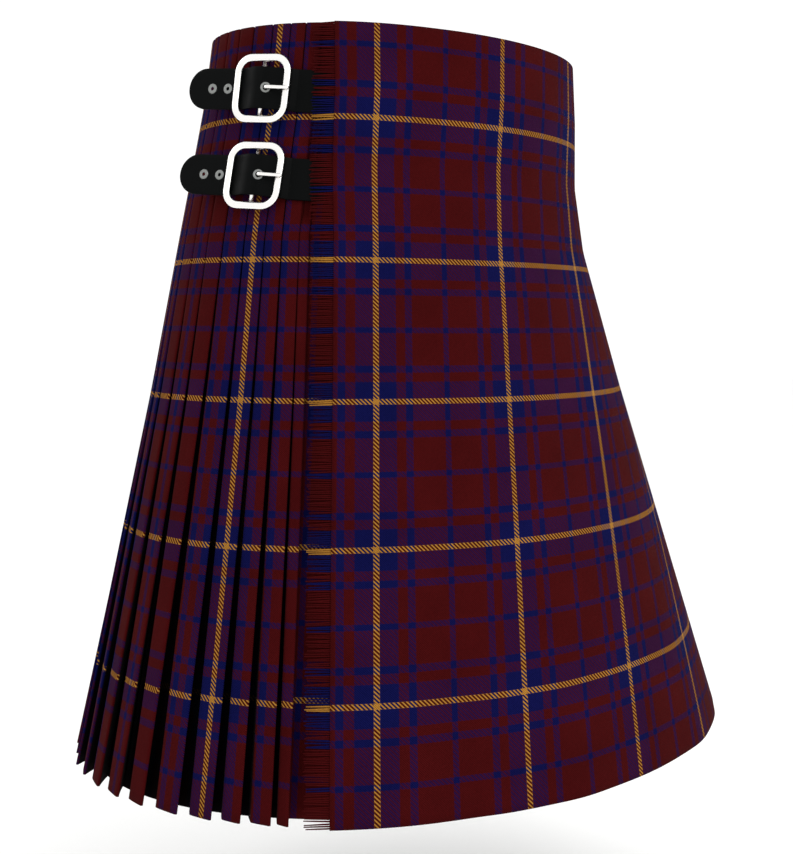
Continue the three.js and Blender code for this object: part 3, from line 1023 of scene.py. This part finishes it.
    def build_frame(self) -> bpy.types.Object:
        """Makes the rounded frame by running its section round it, and the bar across its middle."""
        bar, corner = self.frame_bar, self.frame_corner - self.frame_bar / 2
        width, height = self.frame_width - bar, self.frame_height - bar
        bm = bmesh.new()
        ring = bmesh.ops.create_circle(bm, segments=14, radius=1)["verts"]
        bmesh.ops.scale(bm, vec=(bar / 2 * MM, self.frame_thick / 2 * MM, 1), verts=ring)
        bmesh.ops.rotate(bm, cent=(0, 0, 0), matrix=Matrix.Rotation(math.pi / 2, 3, "X"), verts=ring)
        start = Vector((width / 2, -(height / 2 - corner), self.frame_seat + self.frame_thick / 2)) * MM
        bmesh.ops.translate(bm, vec=start, verts=ring)
        geometry = ring + list({e for v in ring for e in v.link_edges})
        heading = Vector((0, 1, 0))
        for side in range(4):
            straight = (height if side % 2 == 0 else width) - 2 * corner
            edges = [e for e in geometry if isinstance(e, bmesh.types.BMEdge)]
            grown = bmesh.ops.extrude_edge_only(bm, edges=edges)["geom"]
            verts = [v for v in grown if isinstance(v, bmesh.types.BMVert)]
            bmesh.ops.translate(bm, vec=heading * straight * MM, verts=verts)
            geometry = verts + [e for e in grown if isinstance(e, bmesh.types.BMEdge)]
            inward = Vector((-heading.y, heading.x, 0))
            middle = sum((v.co for v in verts), Vector()) / len(verts) + inward * corner * MM
            spun = bmesh.ops.spin(
                bm, geom=geometry, axis=(0, 0, 1), cent=middle, angle=math.pi / 2, steps=9, use_merge=False
            )["geom_last"]
            geometry = [g for g in spun if not isinstance(g, bmesh.types.BMFace)]
            heading = inward
        bmesh.ops.remove_doubles(bm, verts=bm.verts, dist=1e-5)
        length = self.frame_height - bar
        turn = Matrix.Translation(Vector((0, 0, self.bar_seat)) * MM) @ Matrix.Rotation(math.pi / 2, 4, "X")
        bmesh.ops.create_cone(
            bm,
            cap_ends=True,
            segments=16,
            radius1=self.bar_radius * MM,
            radius2=self.bar_radius * MM,
            depth=length * MM,
            matrix=turn,
        )
        bmesh.ops.recalc_face_normals(bm, faces=bm.faces)
        bmesh.ops.transform(bm, matrix=self.place, verts=bm.verts)
        piece = finish_mesh(f"buckle_{self.fastening.name}_frame", bm, self.wardrobe.nickel, Slot.METAL)
        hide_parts(f"buckle_{self.fastening.name}")
        return piece

    def build_tongue(self) -> bpy.types.Object:
        """Makes the tongue: a loop round the middle bar and a prong that rests on the side bar."""
        seat, radius = self.bar_seat, self.tongue_radius
        on_bar = self.frame_seat + self.frame_thick + self.form.gap + radius
        prong = [
            (2.4, seat + 1.4, 1.0),
            (5.6, seat + 4.6, 1.0),
            (8.0, on_bar + 1.6, 1.0),
            (13.0, on_bar + 1.2, 1.0),
            (20.0, on_bar + 0.4, 0.95),
            (self.frame_width / 2 + 0.6, on_bar, 0.9),
            (self.frame_width / 2 + 1.8, on_bar - 0.2, 0.6),
        ]
        loop = [
            (self.ring_radius * math.cos(a), seat + self.ring_radius * math.sin(a), 1.0)
            for a in np.linspace(0.5, 2 * math.pi + 0.3, 15)
        ]
        bm = bmesh.new()
        for run, thick, name in ((prong, radius, "prong"), (loop, 0.95, "loop")):
            mesh = wire_mesh(name, run, thick)
            bm.from_mesh(mesh)
            bpy.data.meshes.remove(mesh)
        bmesh.ops.recalc_face_normals(bm, faces=bm.faces)
        bmesh.ops.transform(bm, matrix=self.place, verts=bm.verts)
        piece = finish_mesh(f"tongue_{self.fastening.name}_wire", bm, self.wardrobe.nickel, Slot.METAL)
        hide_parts(f"tongue_{self.fastening.name}")
        return piece

    def dress_chape(self) -> None:
        """Gives the chape's solid, whose shape is right, its leather."""
        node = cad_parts[f"chape_{self.fastening.name}"]
        node.data.materials.clear()
        node.data.materials.append(self.wardrobe.leather)

    def build(self) -> None:
        """Makes every piece of the fastening."""
        self.build_strap()
        self.build_eyelets()
        self.build_frame()
        self.build_tongue()
        self.dress_chape()


def wire_mesh(name: str, run: Sequence[tuple[float, float, float]], thick: float) -> bpy.types.Mesh:
    """A round wire bent in the plane y = 0.

    Args:
        name: the mesh's name.
        run: places along it, as x, z and its share of the full radius.
        thick: the full radius.

    Returns:
        The mesh, in metres.
    """
    curve = bpy.data.curves.new(name, "CURVE")
    curve.dimensions = "3D"
    curve.bevel_depth = thick * MM
    curve.bevel_resolution = 3
    curve.resolution_u = 5
    curve.use_fill_caps = True
    spline = curve.splines.new("BEZIER")
    spline.bezier_points.add(len(run) - 1)
    for knot, (x, z, share) in zip(spline.bezier_points, run):
        knot.co = Vector((x, 0, z)) * MM
        knot.radius = share
        knot.handle_left_type = knot.handle_right_type = "AUTO"
    carrier = bpy.data.objects.new(name, curve)
    bpy.context.scene.collection.objects.link(carrier)
    graph = bpy.context.evaluated_depsgraph_get()
    mesh = bpy.data.meshes.new_from_object(carrier.evaluated_get(graph))
    bpy.data.objects.remove(carrier)
    bpy.data.curves.remove(curve)
    return mesh


def bake(piece: bpy.types.Object) -> None:
    """Applies a piece's modifiers to its mesh."""
    graph = bpy.context.evaluated_depsgraph_get()
    mesh = bpy.data.meshes.new_from_object(piece.evaluated_get(graph))
    old, piece.data = piece.data, mesh
    piece.modifiers.clear()
    bpy.data.meshes.remove(old)


# ---- Studio ----


@dataclass
class Studio:
    """A plain pale floor, soft light from all round, and the camera."""

    floor_height: float = -0.78
    camera_at: tuple[float, float, float] = (-0.8485, -0.8485, -0.187)
    camera_down: float = 4.6
    lens: float = 53.96

    def build_floor(self) -> None:
        """Makes the floor."""
        bm = bmesh.new()
        bmesh.ops.create_circle(bm, cap_ends=True, segments=64, radius=14)
        bmesh.ops.translate(bm, vec=(0, 0, self.floor_height), verts=bm.verts)
        mesh = bpy.data.meshes.new("floor")
        bm.to_mesh(mesh)
        bm.free()
        material, _, shader = new_material("Matt white paint")
        shader.inputs["Base Color"].default_value = linear(0xF6F6F5)
        shader.inputs["Roughness"].default_value = 0.9
        mesh.materials.append(material)
        floor = bpy.data.objects.new("floor", mesh)
        bpy.context.scene.collection.objects.link(floor)

    def add_light(self, name: str, place: tuple[float, float, float], size: float, power: float) -> None:
        """Adds a soft square light that faces the garment.

        Args:
            name: its name.
            place: where it stands.
            size: its side.
            power: its power in watts.
        """
        light = bpy.data.lights.new(name, "AREA")
        light.size, light.energy = size, power
        lamp = bpy.data.objects.new(name, light)
        lamp.location = place
        lamp.rotation_euler = (Vector((0, 0, -0.25)) - Vector(place)).to_track_quat("-Z", "Y").to_euler()
        bpy.context.scene.collection.objects.link(lamp)

    def build_camera(self) -> None:
        """Adds the camera, level with the middle of the pleats and turned towards the axis."""
        data = bpy.data.cameras.new("camera")
        data.lens = self.lens
        data.shift_x = -2 / 854
        camera = bpy.data.objects.new("camera", data)
        camera.location = self.camera_at
        camera.rotation_euler = (math.radians(90 - self.camera_down), 0, math.radians(-45))
        bpy.context.scene.collection.objects.link(camera)
        bpy.context.scene.camera = camera

    def build(self) -> None:
        """Makes the whole studio."""
        self.build_floor()
        world = bpy.data.worlds.new("studio")
        world.use_nodes = True
        sky = world.node_tree.nodes["Background"]
        sky.inputs[0].default_value = (1, 1, 1, 1)
        sky.inputs[1].default_value = 1.1
        bpy.context.scene.world = world
        self.add_light("key", (-0.5, -2.3, 1.2), 1.6, 22)
        self.add_light("fill", (1.9, -0.9, 0.5), 1.8, 8)
        self.add_light("back", (-0.8, 2.2, 1.2), 1.8, 12)
        bpy.context.scene.view_settings.view_transform = "Standard"
        self.build_camera()


FASTENINGS = (
    Fastening("upper", 0.2152, 52, 54, 1),
    Fastening("lower", 0.2105, 121.5, 56, 1),
    Fastening("left", 0.748, 54, 41, -1),
)


def main() -> None:
    """Dresses the kilt, piece by piece, and sets the studio."""
    logging.basicConfig(level=logging.INFO, format="%(name)s: %(message)s")
    form, wardrobe = KiltForm(), Wardrobe()
    Studio().build()
    Pleats(form, wardrobe).build()
    UnderApron(form, wardrobe).build()
    OverApron(form, wardrobe).build()
    Fringe(form, wardrobe).build()
    for fastening in FASTENINGS:
        StrapAndBuckle(form, wardrobe, fastening).build()
    bpy.context.view_layer.update()


if __name__ == "__main__":
    main()
